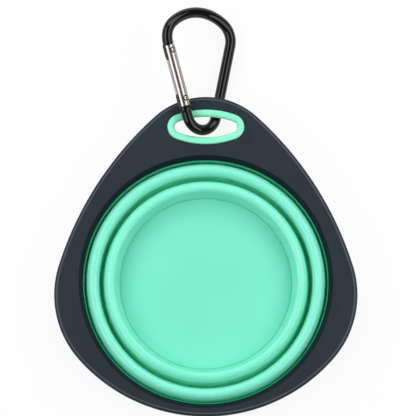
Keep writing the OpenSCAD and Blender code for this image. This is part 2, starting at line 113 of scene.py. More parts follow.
class NodeSheet:
    """A material's node tree, with short calls for the nodes that the finishes share."""

    def __init__(self, name: str) -> None:
        """Makes a material that holds one Principled shader.

        Args:
            name: the material's name.
        """
        self.material = bpy.data.materials.new(name)
        self.material.use_nodes = True
        self.tree = self.material.node_tree
        self.tree.nodes.clear()
        self.shader = self.add("ShaderNodeBsdfPrincipled")
        output = self.add("ShaderNodeOutputMaterial")
        self.link(self.shader.outputs["BSDF"], output.inputs["Surface"])
        self.place = self.add("ShaderNodeTexCoord").outputs["Object"]

    def add(self, kind: str) -> bpy.types.Node:
        """Adds a node of that kind."""
        return self.tree.nodes.new(kind)

    def link(self, source: bpy.types.NodeSocket, target: bpy.types.NodeSocket) -> None:
        """Joins two sockets."""
        self.tree.links.new(source, target)

    def set(self, **values: float | tuple[float, ...]) -> None:
        """Sets sockets of the shader by name, with _ for a space."""
        for name, value in values.items():
            self.shader.inputs[name.replace("_", " ")].default_value = value

    def noise(self, size: float, detail: float, stretch: Point3 = (1, 1, 1)) -> bpy.types.NodeSocket:
        """Adds a noise of grains about size metres across.

        Args:
            size: width of a grain in metres.
            detail: octaves of finer noise.
            stretch: scale along each axis, below 1 for streaks along it.

        Returns:
            The noise's value socket.
        """
        mapping = self.add("ShaderNodeMapping")
        mapping.inputs["Scale"].default_value = stretch
        self.link(self.place, mapping.inputs["Vector"])
        node = self.add("ShaderNodeTexNoise")
        node.inputs["Scale"].default_value = 1 / size
        node.inputs["Detail"].default_value = detail
        self.link(mapping.outputs["Vector"], node.inputs["Vector"])
        return node.outputs["Fac"]

    def span(self, source: bpy.types.NodeSocket, low: float, high: float) -> bpy.types.NodeSocket:
        """Maps the middle of a noise's range to two values.

        Args:
            source: the noise's value.
            low: result at the middle range's lower end.
            high: result at its upper end.

        Returns:
            The mapped value.
        """
        node = self.add("ShaderNodeMapRange")
        for name, value in zip(RANGE_ENDS, (*NOISE_MIDDLE, low, high)):
            node.inputs[name].default_value = value
        self.link(source, node.inputs["Value"])
        return node.outputs["Result"]

    def ramp(self, source: bpy.types.NodeSocket, deep: Colour, pale: Colour) -> bpy.types.NodeSocket:
        """Colours the middle of a noise's range from one colour to another.

        Args:
            source: the noise's value.
            deep: colour at the middle range's lower end.
            pale: colour at its upper end.

        Returns:
            The colour socket.
        """
        node = self.add("ShaderNodeValToRGB")
        for element, place, colour in zip(node.color_ramp.elements, NOISE_MIDDLE, (deep, pale)):
            element.position = place
            element.color = linear(colour)
        self.link(source, node.inputs["Fac"])
        return node.outputs["Color"]

    def bump(self, layers: Sequence[tuple[bpy.types.NodeSocket, float]]) -> None:
        """Raises the surface by one height after another.

        Args:
            layers: height sockets with the depth of each in metres.
        """
        last = None
        for height, depth in layers:
            node = self.add("ShaderNodeBump")
            node.inputs["Distance"].default_value = depth
            self.link(height, node.inputs["Height"])
            if last is not None:
                self.link(last, node.inputs["Normal"])
            last = node.outputs["Normal"]
        if last is not None:
            self.link(last, self.shader.inputs["Normal"])


@dataclass(frozen=True)
class Finish:
    """One finish: its colours, its gloss and the grain of its surface. Lengths are in metres."""

    name: str
    pale: Colour
    deep: Colour
    rough: tuple[float, float]
    grain: Grain = Grain.MOULDED
    blotch: float = 22 * MM
    grain_size: float = 0.25 * MM
    grain_depth: float = 0.01 * MM
    # size of the marks of handling, in parts of the blotches
    handling: float = 0.25
    metallic: float = 0.0
    coat: float = 0.0
    coat_rough: float = 0.06
    specular: float = 0.5
    streak: Point3 = (1, 1, 1)
    # share of the light that passes under the surface, and how far its red, green and blue reach
    glow: float = 0.0
    glow_reach: Point3 = (0.5 * MM, 3.0 * MM, 2.0 * MM)

    def build(self) -> bpy.types.Material:
        """Makes the material's nodes.

        Returns:
            The material.
        """
        sheet = NodeSheet(self.name)
        blotch = sheet.noise(self.blotch, detail=4.0)
        sheet.link(sheet.ramp(blotch, self.deep, self.pale), sheet.shader.inputs["Base Color"])
        fine = sheet.noise(self.grain_size, detail=2.0, stretch=self.streak)
        handled = sheet.noise(self.blotch * self.handling, detail=5.0, stretch=self.streak)
        sheet.link(sheet.span(handled, *self.rough), sheet.shader.inputs["Roughness"])
        layers = [(fine, self.grain_depth)]
        wave_size, wave_detail, wave_depth = self.grain.value
        if wave_size > 0:
            waves = sheet.noise(wave_size * self.grain_size, wave_detail)
            layers.append((waves, wave_depth * self.grain_depth))
        sheet.bump(layers)
        sheet.set(
            Metallic=self.metallic, Coat_Weight=self.coat, Coat_Roughness=self.coat_rough,
            Specular_IOR_Level=self.specular,
        )
        if self.glow > 0:
            sheet.set(Subsurface_Weight=self.glow, Subsurface_Radius=self.glow_reach, Subsurface_Scale=1.0)
        return sheet.material


PLATE = Finish(
    "slate_plastic", (38, 47, 55), (34, 43, 51), (0.42, 0.52), grain_size=0.3 * MM, specular=0.25,
)
# painted highlight: a lighter line along the plate's top edge, for the light that its rounding catches
PLATE_HIGHLIGHT_LINE = Finish(
    "slate_painted_highlight_line", (78, 88, 96), (70, 80, 88), (0.34, 0.44), grain_size=0.3 * MM, specular=0.4,
)
# painted shade: the opening's slope darker than the plate, with a painted green reflection of the bowl
PLATE_SLOPE_SHADE = Finish(
    "slate_painted_slope_shade", (16, 32, 38), (13, 28, 34), (0.4, 0.5), grain_size=0.5 * MM, specular=0.12,
)
RUBBER = Finish(
    "mint_rubber", (132, 246, 213), (126, 244, 209), (0.5, 0.6), grain_size=0.35 * MM, grain_depth=0.005 * MM,
    coat=0.6, coat_rough=0.1, specular=0.7, glow=0.45,
)
# painted shade: a slightly deeper green, with less sheen, for the webs down in the grooves
WEB_SHADE = Finish(
    "mint_web_painted_shade", (127, 247, 209), (121, 245, 205), (0.55, 0.65), grain_size=0.35 * MM, grain_depth=0.005 * MM,
    specular=0.25, glow=0.5,
)
# painted shade: a darker green for the lip's rim in the trench beside the plate
LIP_SHADE = Finish(
    "mint_lip_painted_shade", (38, 188, 138), (32, 180, 130), (0.5, 0.6), grain_size=0.35 * MM, grain_depth=0.005 * MM,
    specular=0.2, glow=0.5,
)
BASE = Finish(
    "mint_floor", (123, 231, 204), (120, 229, 201), (0.5, 0.62), grain_size=0.35 * MM, grain_depth=0.006 * MM,
    specular=0.35,
)
LINER = Finish(
    "mint_liner", (140, 248, 208), (133, 246, 204), (0.46, 0.56), grain_size=0.3 * MM, grain_depth=0.004 * MM,
    specular=0.9,
)
BAR = Finish(
    "black_lacquer", (3, 3, 4), (1, 1, 2), (0.07, 0.11), Grain.LACQUERED,
    blotch=9 * MM, grain_size=0.5 * MM, grain_depth=0.0015 * MM, specular=0.4,
)
GATE = Finish(
    "polished_gate", (184, 179, 176), (172, 167, 164), (0.19, 0.25), Grain.BRUSHED,
    blotch=6 * MM, grain_size=0.2 * MM, grain_depth=0.0006 * MM, metallic=1.0, streak=(1, 0.12, 1),
)
RIVET = Finish(
    "rivet_steel", (200, 197, 195), (186, 183, 180), (0.18, 0.26), Grain.BRUSHED,
    blotch=2 * MM, grain_size=0.2 * MM, grain_depth=0.0006 * MM, metallic=1.0,
)
# painted shade: near-black for the seam round each rivet head and for its dimple
SEAM_SHADE = Finish(
    "rivet_painted_seam_shade", (18, 17, 16), (9, 8, 8), (0.5, 0.65),
    grain_size=0.1 * MM, grain_depth=0.004 * MM, specular=0.15,
)
SPRING = Finish(
    "drawn_wire", (168, 170, 172), (140, 142, 145), (0.25, 0.4), Grain.BRUSHED,
    blotch=2 * MM, grain_size=0.1 * MM, grain_depth=0.003 * MM, metallic=1.0,
)


class Wardrobe:
    """Builds each finish once and gives it to pieces."""

    def __init__(self) -> None:
        """Starts with no material built."""
        self.made: dict[str, bpy.types.Material] = {}

    def material(self, finish: Finish) -> bpy.types.Material:
        """Returns a finish's material, built at its first use."""
        if finish.name not in self.made:
            self.made[finish.name] = finish.build()
        return self.made[finish.name]

    def dress(self, piece: bpy.types.Object, slot: str, *finishes: Finish) -> bpy.types.Object:
        """Gives a piece its finishes.

        Args:
            piece: the piece or CAD node.
            slot: not used.
            finishes: the finish of each zone of the piece.

        Returns:
            The same piece.
        """
        if piece.data.materials:
            for index in range(len(piece.data.materials)):
                piece.data.materials[index] = self.material(finishes[0])
        else:
            for finish in finishes:
                piece.data.materials.append(self.material(finish))
        return piece


def fillet(corners: Sequence[Point3], steps: int = 7) -> list[Point2]:
    """Rounds the corners of a closed section.

    Args:
        corners: each corner's x, y and radius, where a radius of 0 keeps it sharp.
        steps: pieces in each rounding.

    Returns:
        The section's points in order.
    """
    points: list[Point2] = []
    count = len(corners)
    for i, (x, y, radius) in enumerate(corners):
        if radius <= 0:
            points.append((x, y))
            continue
        corner = Vector((x, y))
        before = (Vector(corners[i - 1][:2]) - corner).normalized()
        after = (Vector(corners[(i + 1) % count][:2]) - corner).normalized()
        half = math.acos(max(-1.0, min(1.0, before.dot(after)))) / 2
        centre = corner + (before + after).normalized() * radius / math.sin(half)
        start = corner + before * radius / math.tan(half) - centre
        turn = math.pi - 2 * half
        if before.cross(after) > 0:
            turn = -turn
        for k in range(steps + 1):
            c, d = math.cos(turn * k / steps), math.sin(turn * k / steps)
            points.append((centre.x + start.x * c - start.y * d, centre.y + start.x * d + start.y * c))
    return points


def refine(points: Sequence[Point2], longest: float) -> list[Point2]:
    """Splits a closed section's long stretches, so that a bend can spread over them.

    Args:
        points: the section's points.
        longest: the longest stretch that stays whole.

    Returns:
        The section with more points.
    """
    result: list[Point2] = []
    for i, (x, y) in enumerate(points):
        nx, ny = points[(i + 1) % len(points)]
        parts = max(1, math.ceil(math.hypot(nx - x, ny - y) / longest))
        result += [(x + (nx - x) * k / parts, y + (ny - y) * k / parts) for k in range(parts)]
    return result


class Maker:
    """Collects the points and faces of one closed mesh, in millimetres."""

    def __init__(self) -> None:
        """Starts an empty mesh."""
        self.points: list[Point3] = []
        self.faces: list[tuple[int, ...]] = []
        self.zones: list[int] = []
        self.flats: list[list[list[int]]] = []

    def ring(self, points: Iterable[Point3]) -> list[int]:
        """Adds points.

        Args:
            points: the points in millimetres.

        Returns:
            Their numbers.
        """
        first = len(self.points)
        self.points += [tuple(p) for p in points]
        return list(range(first, len(self.points)))

    def face(self, points: tuple[int, ...], zone: int = 0) -> None:
        """Adds one face in a zone of the piece's finishes."""
        self.faces.append(points)
        self.zones.append(zone)

    def band(self, low: list[int], high: list[int], zone: int = 0) -> None:
        """Joins two closed rings of equal length by quads.

        Args:
            low: numbers of one ring's points.
            high: numbers of the other's.
            zone: zone of the quads.
        """
        for i in range(len(low)):
            j = (i + 1) % len(low)
            self.face((low[i], low[j], high[j], high[i]), zone)

    def bands(self, rings: Sequence[list[int]], zones: Sequence[int] = ()) -> None:
        """Joins each ring to the next, each band in its zone."""
        for i, (low, high) in enumerate(zip(rings, rings[1:])):
            self.band(low, high, zones[i] if zones else 0)

    def fan(self, ring: list[int], point: int, zone: int = 0) -> None:
        """Closes a ring onto one point."""
        for i in range(len(ring)):
            self.face((ring[i], ring[(i + 1) % len(ring)], point), zone)

    def flat(self, loops: list[list[int]]) -> None:
        """Fills the flat area between loops when the mesh is built."""
        self.flats.append(loops)

    def build(self, name: str, sharp: float = 35.0) -> bpy.types.Object:
        """Makes the object.

        Args:
            name: the piece's name.
            sharp: angle in degrees over which an edge shows.

        Returns:
            The object, in metres at the row frame's origin.
        """
        mesh = bpy.data.meshes.new(name)
        made = bmesh.new()
        points = [made.verts.new([c * MM for c in p]) for p in self.points]
        for face, zone in zip(self.faces, self.zones):
            made.faces.new([points[i] for i in face]).material_index = zone
        for loops in self.flats:
            edges = []
            for loop in loops:
                for i, start in enumerate(loop):
                    pair = (points[start], points[loop[(i + 1) % len(loop)]])
                    edges.append(made.edges.get(pair) or made.edges.new(pair))
            bmesh.ops.triangle_fill(made, use_beauty=True, use_dissolve=False, edges=edges)
        bmesh.ops.recalc_face_normals(made, faces=made.faces)
        made.to_mesh(mesh)
        made.free()
        mesh.shade_smooth()
        mesh.set_sharp_from_angle(angle=math.radians(sharp))
        piece = bpy.data.objects.new(name, mesh)
        bpy.context.scene.collection.objects.link(piece)
        return piece


def circle(radius: float, height: float, steps: int) -> list[Point3]:
    """Points of a level circle about the bowl's axis."""
    angles = [2 * math.pi * i / steps for i in range(steps)]
    return [(radius * math.cos(a), radius * math.sin(a), height) for a in angles]


def lathe(name: str, section: Sequence[Point2]) -> bpy.types.Object:
    """Turns a closed section about the bowl's axis.

    Args:
        name: the piece's name.
        section: radius and height of each point.

    Returns:
        The turned piece.
    """
    maker = Maker()
    rings = []
    for i in range(TURN_STEPS):
        a = 2 * math.pi * i / TURN_STEPS
        rings.append(maker.ring((r * math.cos(a), r * math.sin(a), z) for r, z in section))
    maker.bands([*rings, rings[0]])
    return maker.build(name)


def rezone(piece: bpy.types.Object, inside: Callable[[Vector], bool]) -> bpy.types.Object:
    """Puts the faces whose centre passes a test in the piece's second zone.

    Args:
        piece: the piece.
        inside: the test of a face's centre, which is in metres.

    Returns:
        The same piece.
    """
    for face in piece.data.polygons:
        if inside(face.center):
            face.material_index = 1
    return piece


def soften(
    piece: bpy.types.Object, width: float, segments: int = 2, angle: float = 40.0, near: float = 0.0005
) -> bpy.types.Object:
    """Takes the sharpness off a piece's edges with a small bevel.

    Args:
        piece: the piece.
        width: the bevel's width in millimetres.
        segments: facets of the bevel.
        angle: edges sharper than this many degrees are bevelled.
        near: points closer than this many millimetres are joined first.

    Returns:
        The same piece.
    """
    weld = piece.modifiers.new("weld", "WELD")
    weld.merge_threshold = near * MM
    bevel = piece.modifiers.new("edge", "BEVEL")
    bevel.width = width * MM
    bevel.segments = segments
    bevel.limit_method = "ANGLE"
    bevel.angle_limit = math.radians(angle)
    bevel.harden_normals = True
    return piece


@dataclass(frozen=True)
class Arc:
    """One arc of an outline: centre, radius, starting angle and span in degrees, and how many steps."""

    centre: Point2
    radius: float
    start: float
    span: float
    steps: int

    def points(self, grow: float) -> list[Point2]:
        """Points along the arc, with the last left to the next arc.

        Args:
            grow: how far outside the arc they lie.

        Returns:
            The points.
        """
        angles = [math.radians(self.start + self.span * k / self.steps) for k in range(self.steps)]
        reach = self.radius + grow
        return [(self.centre[0] + reach * math.cos(a), self.centre[1] + reach * math.sin(a)) for a in angles]


@dataclass(frozen=True)
class Outline:
    """A closed outline of arcs that run into each other."""

    arcs: tuple[Arc, ...]

    def ring(self, grow: float, height: float) -> list[Point3]:
        """Points round the whole outline.

        Args:
            grow: how far outside the outline they lie.
            height: their z in millimetres.

        Returns:
            The points.
        """
        return [(x, y, height) for arc in self.arcs for x, y in arc.points(grow)]


@dataclass
class RimPlate:
    """The rigid plate with its slot and the rubber ring that lines the slot, in millimetres."""

    wardrobe: Wardrobe
    width: float = 140.0
    tip_reach: float = 86.0
    end_reach: float = 62.5
    end_r: float = 78.0
    corner_r: float = 45.0
    side_r: float = 156.0
    tip_r: float = 35.0
    # steps of a corner, a side and an end
    outline_steps: tuple[int, int, int] = (60, 40, 70)
    low: float = 10.7
    top: float = 13.7
    # width and height of the top edge's rounding, and the flat strip of the painted highlight line beside it
    edge: tuple[float, float] = (1.25, 0.9)
    edge_steps: int = 9
    line: float = 0.3
    under_r: float = 0.8
    under_rim: float = 1.0
    hollow: float = 1.0
    hollow_rim: float = 2.6
    # the solid ring round the opening, and the least width of the hollow beside it
    land_r: float = 61.4
    land_gap: float = 0.6
    land_steps: int = 180
    opening_r: float = 56.65
    slope_r: float = 58.7
    slope_low: float = 11.9
    slope_rounding: tuple[float, float] = (0.25, 0.5)
    # the slope's topmost bands, which keep the plate's finish, and the flat beyond them; the bands below
    # carry painted shade
    slope_plain: int = 3
    slope_shoulder: float = 0.6
    # the collar that the rubber grips: inner and outer radius, and underside
    collar: tuple[float, float, float] = (57.2, 58.4, 8.1)
    collar_rounding: float = 0.15
    slot_y: float = 72.0
    slot_half: tuple[float, float] = (14.5, 4.75)
    slot_end_r: float = 2.6
    # steps of a round end and a flank
    slot_steps: tuple[int, int] = (28, 32)
    island: float = 2.0
    seat_lead: float = 0.35
    # rounding of the seat's edges and of the tongue's
    seat_rounding: tuple[float, float] = (0.12, 0.1)
    liner_w: float = 3.5
    liner_proud: float = 0.15
    liner_play: float = 0.12
    # rounding of the liner's edges in the slot and over the plate
    liner_rounding: tuple[float, float] = (1.6, 0.9)
    # depth and thickness of the plate's tongue in the liner
    tongue: tuple[float, float] = (1.1, 0.9)
    around: int = 360

    def outline(self) -> Outline:
        """Works out the plate's outline from its radii.

        Returns:
            The outline, anticlockwise from the broad end's right corner.
        """
        end = Vector((0, self.end_r - self.end_reach))
        corner_x = self.width / 2 - self.corner_r
        corner = Vector((corner_x, end.y - math.sqrt((self.end_r - self.corner_r) ** 2 - corner_x**2)))
        tip = Vector((0, self.tip_reach - self.tip_r))
        gap = (tip - corner).length
        along = (tip - corner) / gap
        reach = self.side_r - self.corner_r
        run = (reach**2 - (self.side_r - self.tip_r) ** 2 + gap**2) / (2 * gap)
        side = corner + run * along + math.sqrt(reach**2 - run**2) * Vector((-along.y, along.x))
        a_end = math.degrees(math.atan2(corner.y - end.y, corner.x - end.x))
        a_corner = math.degrees(math.atan2(corner.y - side.y, corner.x - side.x))
        a_side = math.degrees(math.atan2(tip.y - side.y, tip.x - side.x))
        other_side, other_corner = Vector((-side.x, side.y)), Vector((-corner.x, corner.y))
        corner_n, side_n, end_n = self.outline_steps
        return Outline(
            (
                Arc(tuple(corner), self.corner_r, a_end, a_corner - a_end, corner_n),
                Arc(tuple(side), self.side_r, a_corner, a_side - a_corner, side_n),
                Arc(tuple(tip), self.tip_r, a_side, 180 - 2 * a_side, end_n),
                Arc(tuple(other_side), self.side_r, 180 - a_side, a_side - a_corner, side_n),
                Arc(tuple(other_corner), self.corner_r, 180 - a_corner, a_corner - a_end, corner_n),
                Arc(tuple(end), self.end_r, 180 - a_end, 180 + 2 * a_end, end_n),
            )
        )

    def slot(self) -> Outline:
        """Works out the slot's outline: two flanks and two round ends.

        Returns:
            The outline of the free slot.
        """
        half_l, half_w = self.slot_half
        end_x = half_l - self.slot_end_r
        flank_r = (end_x**2 + half_w**2 - self.slot_end_r**2) / (2 * (half_w - self.slot_end_r))
        off = flank_r - half_w
        a = math.degrees(math.atan2(off, end_x))
        end_n, flank_n = self.slot_steps
        return Outline(
            (
                Arc((end_x, self.slot_y), self.slot_end_r, -a, 2 * a, end_n),
                Arc((0, self.slot_y - off), flank_r, a, 180 - 2 * a, flank_n),
                Arc((-end_x, self.slot_y), self.slot_end_r, 180 - a, 2 * a, end_n),
                Arc((0, self.slot_y + off), flank_r, 180 + a, 180 - 2 * a, flank_n),
            )
        )

    def hollow_loop(self, outline: Outline, height: float) -> list[Point3]:
        """Outline of the hollow in the underside: a horseshoe that leaves the broad end solid.

        Args:
            outline: the plate's outline.
            height: z of the loop.

        Returns:
            The loop's points.
        """

        def bearing(point: Point3) -> float:
            """Angle of a point about the bowl's axis, from the middle of the broad end."""
            return math.atan2(point[0], -point[1]) % (2 * math.pi)

        reach = self.land_r + self.land_gap
        outer = [p for p in outline.ring(-self.hollow_rim, height) if math.hypot(p[0], p[1]) > reach]
        outer.sort(key=bearing)
        start, stop = bearing(outer[-1]), bearing(outer[0])
        angles = [start + (stop - start) * k / self.land_steps for k in range(self.land_steps + 1)]
        return outer + [(self.land_r * math.sin(a), -self.land_r * math.cos(a), height) for a in angles]

    def edge_section(self) -> list[Point2]:
        """Section of the plate's outer edge, from the underside to the painted highlight line on top.

        Returns:
            Outward offset and height of each point.
        """
        wide, tall = self.edge
        r = self.under_r
        angles = [math.radians(90 * k / self.edge_steps) for k in range(self.edge_steps + 1)]
        under = [(-r * (1 - math.sin(a)), self.low + r * (1 - math.cos(a))) for a in angles]
        over = [(-wide * (1 - math.cos(a)), self.top - tall * (1 - math.sin(a))) for a in angles]
        return [(-self.under_rim, self.low), *under, *over, (-wide - self.line, self.top)]

    def mouth_section(self) -> tuple[list[Point2], list[PlateZone]]:
        """Section of the opening: the collar that the rubber grips, and the slope up to the top.

        Returns:
            Radius and height of each point, and the zone of each band between two points.
        """
        inner_r, outer_r, collar_low = self.collar
        foot_r, shoulder_r = self.slope_rounding
        collar = fillet(
            [
                (outer_r, self.low, 0), (outer_r, collar_low, self.collar_rounding),
                (inner_r, collar_low, self.collar_rounding), (inner_r, self.low, 0),
                (self.opening_r, self.low, 0),
            ]
        )
        slope = fillet(
            [
                (self.opening_r, self.low, 0), (self.opening_r, self.slope_low, foot_r),
                (self.slope_r, self.top, shoulder_r), (self.slope_r + self.slope_shoulder, self.top, 0),
            ]
        )[1:]
        zones = [PlateZone.PLASTIC] * (len(collar) - 1)
        # the slope under its topmost bands carries painted shade
        zones += [PlateZone.SLOPE] * (len(slope) - self.slope_plain)
        zones += [PlateZone.PLASTIC] * self.slope_plain
        return collar + slope, zones

    def seat_section(self) -> list[Point2]:
        """Section of the wall that the liner sits on, with its tongue.

        Returns:
            Offset from the free slot and height of each point.
        """
        depth, thick = self.tongue
        middle = (self.low + self.top) / 2
        lower, upper = middle - thick / 2, middle + thick / 2
        edge_r, tongue_r = self.seat_rounding
        w, lead = self.liner_w, self.liner_w + self.seat_lead
        return fillet(
            [
                (lead, self.low, 0), (w, self.low, edge_r), (w, lower, 0),
                (w - depth, lower, tongue_r), (w - depth, upper, tongue_r),
                (w, upper, 0), (w, self.top, edge_r), (lead, self.top, 0),
            ],
            steps=4,
        )

    def plate(self) -> bpy.types.Object:
        """Builds the plate as one closed mesh.

        Returns:
            The plate.
        """
        maker, outline, slot = Maker(), self.outline(), self.slot()
        edge = [maker.ring(outline.ring(grow, z)) for grow, z in self.edge_section()]
        # the edge's last two bands carry the painted highlight line
        maker.bands(edge, [PlateZone.PLASTIC] * (len(edge) - 3) + [PlateZone.LINE] * 2)
        section, zones = self.mouth_section()
        mouth = [maker.ring(circle(r, z, self.around)) for r, z in section]
        maker.bands(mouth, zones)
        pocket = [maker.ring(slot.ring(grow, z)) for grow, z in self.seat_section()]
        maker.bands(pocket)
        heights = (self.low, self.low + self.hollow)
        hollow = [maker.ring(self.hollow_loop(outline, z)) for z in heights]
        maker.bands(hollow)
        island = [maker.ring(slot.ring(self.liner_w + self.island, z)) for z in heights]
        maker.bands(island)
        maker.flat([edge[-1], mouth[-1], pocket[-1]])
        maker.flat([edge[0], mouth[0], hollow[0]])
        maker.flat([hollow[1], island[1]])
        maker.flat([island[0], pocket[0]])
        return maker.build("slate_rim_plate", sharp=38)

    def liner(self) -> bpy.types.Object:
        """Builds the rubber ring of the slot, grooved for the plate's tongue.

        Returns:
            The liner.
        """
        maker, slot = Maker(), self.slot()
        depth, thick = self.tongue
        low, high = self.low - self.liner_proud, self.top + self.liner_proud
        middle = (low + high) / 2
        lower, upper = middle - thick / 2, middle + thick / 2
        inner_r, outer_r = self.liner_rounding
        w = self.liner_w - self.liner_play
        section = fillet(
            [
                (0, low, inner_r), (0, high, inner_r), (w, high, outer_r), (w, upper, 0),
                (w - depth, upper, 0), (w - depth, lower, 0), (w, lower, 0), (w, low, outer_r),
            ],
            steps=8,
        )
        rings = [maker.ring(slot.ring(grow, z)) for grow, z in section]
        maker.bands([*rings, rings[0]])
        return maker.build("mint_slot_liner", sharp=50)

    def place(self) -> None:
        """Builds both pieces, dresses them and lets them ride on the frame."""
        plate = self.wardrobe.dress(self.plate(), "plate", PLATE, PLATE_HIGHLIGHT_LINE, PLATE_SLOPE_SHADE)
        liner = self.wardrobe.dress(self.liner(), "liner_rubber", LINER)
        for piece, node in ((plate, "rim_plate"), (liner, "slot_liner")):
            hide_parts(node)
            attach(piece, "frame")
            log.info("%s: %d points", piece.name, len(piece.data.vertices))


@dataclass(frozen=True)
class Fold:
    """One fold of the rubber: a web that rises from its valley, with a crest on top, in millimetres."""

    name: str
    # radii of the valley's outer edge and of the web's foot, and the rounding of each
    valley: tuple[float, float]
    valley_rounding: tuple[float, float]
    # radii of the crest's outer face and of its inner rounding's end, of its highest line, and the inner fall
    crest: tuple[float, float]
    ridge: float
    fall: float
    # radii of the web's back under the crest and in the valley
    back: tuple[float, float]


@dataclass
class RubberBowl:
    """The folded bowl: a lip, two crests on webs, the cup's wall with its foot, and the floor, in mm."""

    wardrobe: Wardrobe
    outer: Fold = Fold(
        "outer_fold_and_crest", valley=(57.2, 55.8), valley_rounding=(0.5, 0.14), crest=(55.0, 49.2),
        ridge=52.1, fall=3.3, back=(54.2, 55.0),
    )
    inner: Fold = Fold(
        "inner_fold_and_crest", valley=(50.2, 48.0), valley_rounding=(0.5, 0.3), crest=(46.9, 41.7),
        ridge=43.9, fall=2.6, back=(46.1, 47.2),
    )
    valley_z: tuple[float, float] = (1.6, 2.4)
    crest_z: tuple[float, float] = (10.9, 12.9)
    # height of a crest's outer rounding
    rise: float = 3.3
    crown_steps: int = 16
    # bevel at the lower end of a web's back
    nick: float = 0.2
    # height under which a face belongs to the web, which carries a slightly deeper green as painted shade in
    # the grooves
    web_top: float = 8.8
    # thickness of the skirt at the crest and at its foot
    skirt_t: tuple[float, float] = (1.2, 1.0)
    # how far the skirt's face has bent inward halfway up its bend, in parts of the whole
    skirt_ease: float = 0.3
    lip_r: float = 56.2
    lip_top: float = 10.75
    lip_rounding: float = 0.2
    rim_z: float = 10.2
    opening_r: float = 56.65
    plate_low: float = 10.7
    # the plate's collar: inner and outer radius, and underside
    collar: tuple[float, float, float] = (57.2, 58.4, 8.1)
    wrap_r: float = 59.4
    wrap_low: float = 7.1
    wrap_rounding: tuple[float, float, float] = (0.25, 0.4, 0.3)
    floor_r: float = 39.75
    floor_z: tuple[float, float] = (1.2, 3.4)
    floor_rounding: float = 0.3
    floor_rows: tuple[float, ...] = (6, 14, 22, 29, 34, 37.5, 38.8)
    # radii of the step round the floor's underside, and its height
    floor_step: tuple[float, float, float] = (37.4, 36.9, 0.35)
    # radii of the underside's inner rings
    floor_under: tuple[float, float] = (20, 6)
    floor_turn: int = 240
    wall_foot: float = 3.1
    wall_t: float = 1.4
    foot_r: tuple[float, float] = (38.25, 41.15)
    # rounding of the foot ring: inner top, inner edge, outer edge, outer top
    foot_rounding: tuple[float, float, float, float] = (0.2, 0.3, 0.4, 0.5)
    fold_range: tuple[float, float] = (2.4, 10.6)
    # longest stretch of a section in a piece that stays firm, in a fold, and in the cup's wall
    grids: tuple[float, float, float] = (1.5, 0.7, 1.2)

    def crown(self, fold: Fold) -> list[Point2]:
        """Points over a crest from its outer face to its inner one, cut off at the height of its underside.

        Args:
            fold: the fold that the crest belongs to.

        Returns:
            Radius and height of each point.
        """
        under, top = self.crest_z
        outer, inner = fold.crest
        points = []
        for k in range(self.crown_steps + 1):
            a = math.pi / 2 * k / self.crown_steps
            r = fold.ridge + (outer - fold.ridge) * math.cos(a)
            points.append((r, top - self.rise * (1 - math.sin(a))))
        last = math.acos(1 - (top - under) / fold.fall)
        for k in range(1, self.crown_steps + 1):
            a = last * k / self.crown_steps
            r = fold.ridge - (fold.ridge - inner) * math.sin(a)
            points.append((r, top - fold.fall * (1 - math.cos(a))))
        return points

    def shoulder(self, fold: Fold) -> float:
        """Radius at which a crest's inner side is cut off."""
        return self.crown(fold)[-1][0]

    def fold(self, fold: Fold, inside: float) -> bpy.types.Object:
        """Builds a web with its valley and the cap of its crest.

        Args:
            fold: the fold's sizes.
            inside: radius of the inner edge of the crest's underside.

        Returns:
            The fold, with its web, in a slightly deeper green as painted groove shade, as the second zone.
        """
        low, high = self.valley_z
        under, top = self.crest_z
        outside, foot = fold.valley
        valley_r, foot_r = fold.valley_rounding
        back_high, back_low = fold.back
        front = fillet(
            [
                (outside, low, valley_r), (outside, high, 0), (foot, high, foot_r),
                (fold.crest[0], top - self.rise, 0),
            ],
            steps=10,
        )[:-1]
        back = [
            (inside, under), (back_high, under), (back_low, high), (back_low, low + self.nick),
            (back_low + self.nick, low),
        ]
        return self.webbed(lathe(fold.name, refine(front + self.crown(fold) + back, self.grids[1])))

    def webbed(self, piece: bpy.types.Object) -> bpy.types.Object:
        """Puts a piece's faces that lie under the crests in its second zone, the deeper green of painted
        groove shade.
        """
        return rezone(piece, lambda spot: spot.z < self.web_top * MM)

    def outer_fold(self) -> bpy.types.Object:
        """Builds the fold between the lip and the outer crest."""
        return self.fold(self.outer, self.outer.crest[1] + self.skirt_t[0])

    def inner_fold(self) -> bpy.types.Object:
        """Builds the fold between the outer crest's skirt and the inner crest."""
        return self.fold(self.inner, self.shoulder(self.inner) + self.wall_t)

    def lip(self) -> bpy.types.Object:
        """Builds the lip that is moulded over the plate's collar, with its hanging wall.

        Returns:
            The lip, with its rim against the plate, painted darker green as shade, as its second zone.
        """
        inner, outer, low = self.collar
        top_r, bottom_r, inside_r = self.wrap_rounding
        valley = self.valley_z[1]
        section = fillet(
            [
                (self.lip_r, valley, 0), (self.lip_r, self.lip_top, self.lip_rounding),
                (self.opening_r, self.lip_top, 0), (self.opening_r, self.plate_low, 0),
                (inner, self.plate_low, 0), (inner, low, 0), (outer, low, 0), (outer, self.plate_low, 0),
                (self.wrap_r, self.plate_low, top_r), (self.wrap_r, self.wrap_low, bottom_r),
                (inner, self.wrap_low, inside_r), (inner, valley, 0),
            ]
        )
        piece = lathe("rubber_lip", refine(section, self.grids[0]))
        # the rim's faces over rim_z inside the collar get the painted shade
        return rezone(piece, lambda spot: spot.z > self.rim_z * MM and spot.xy.length < inner * MM)

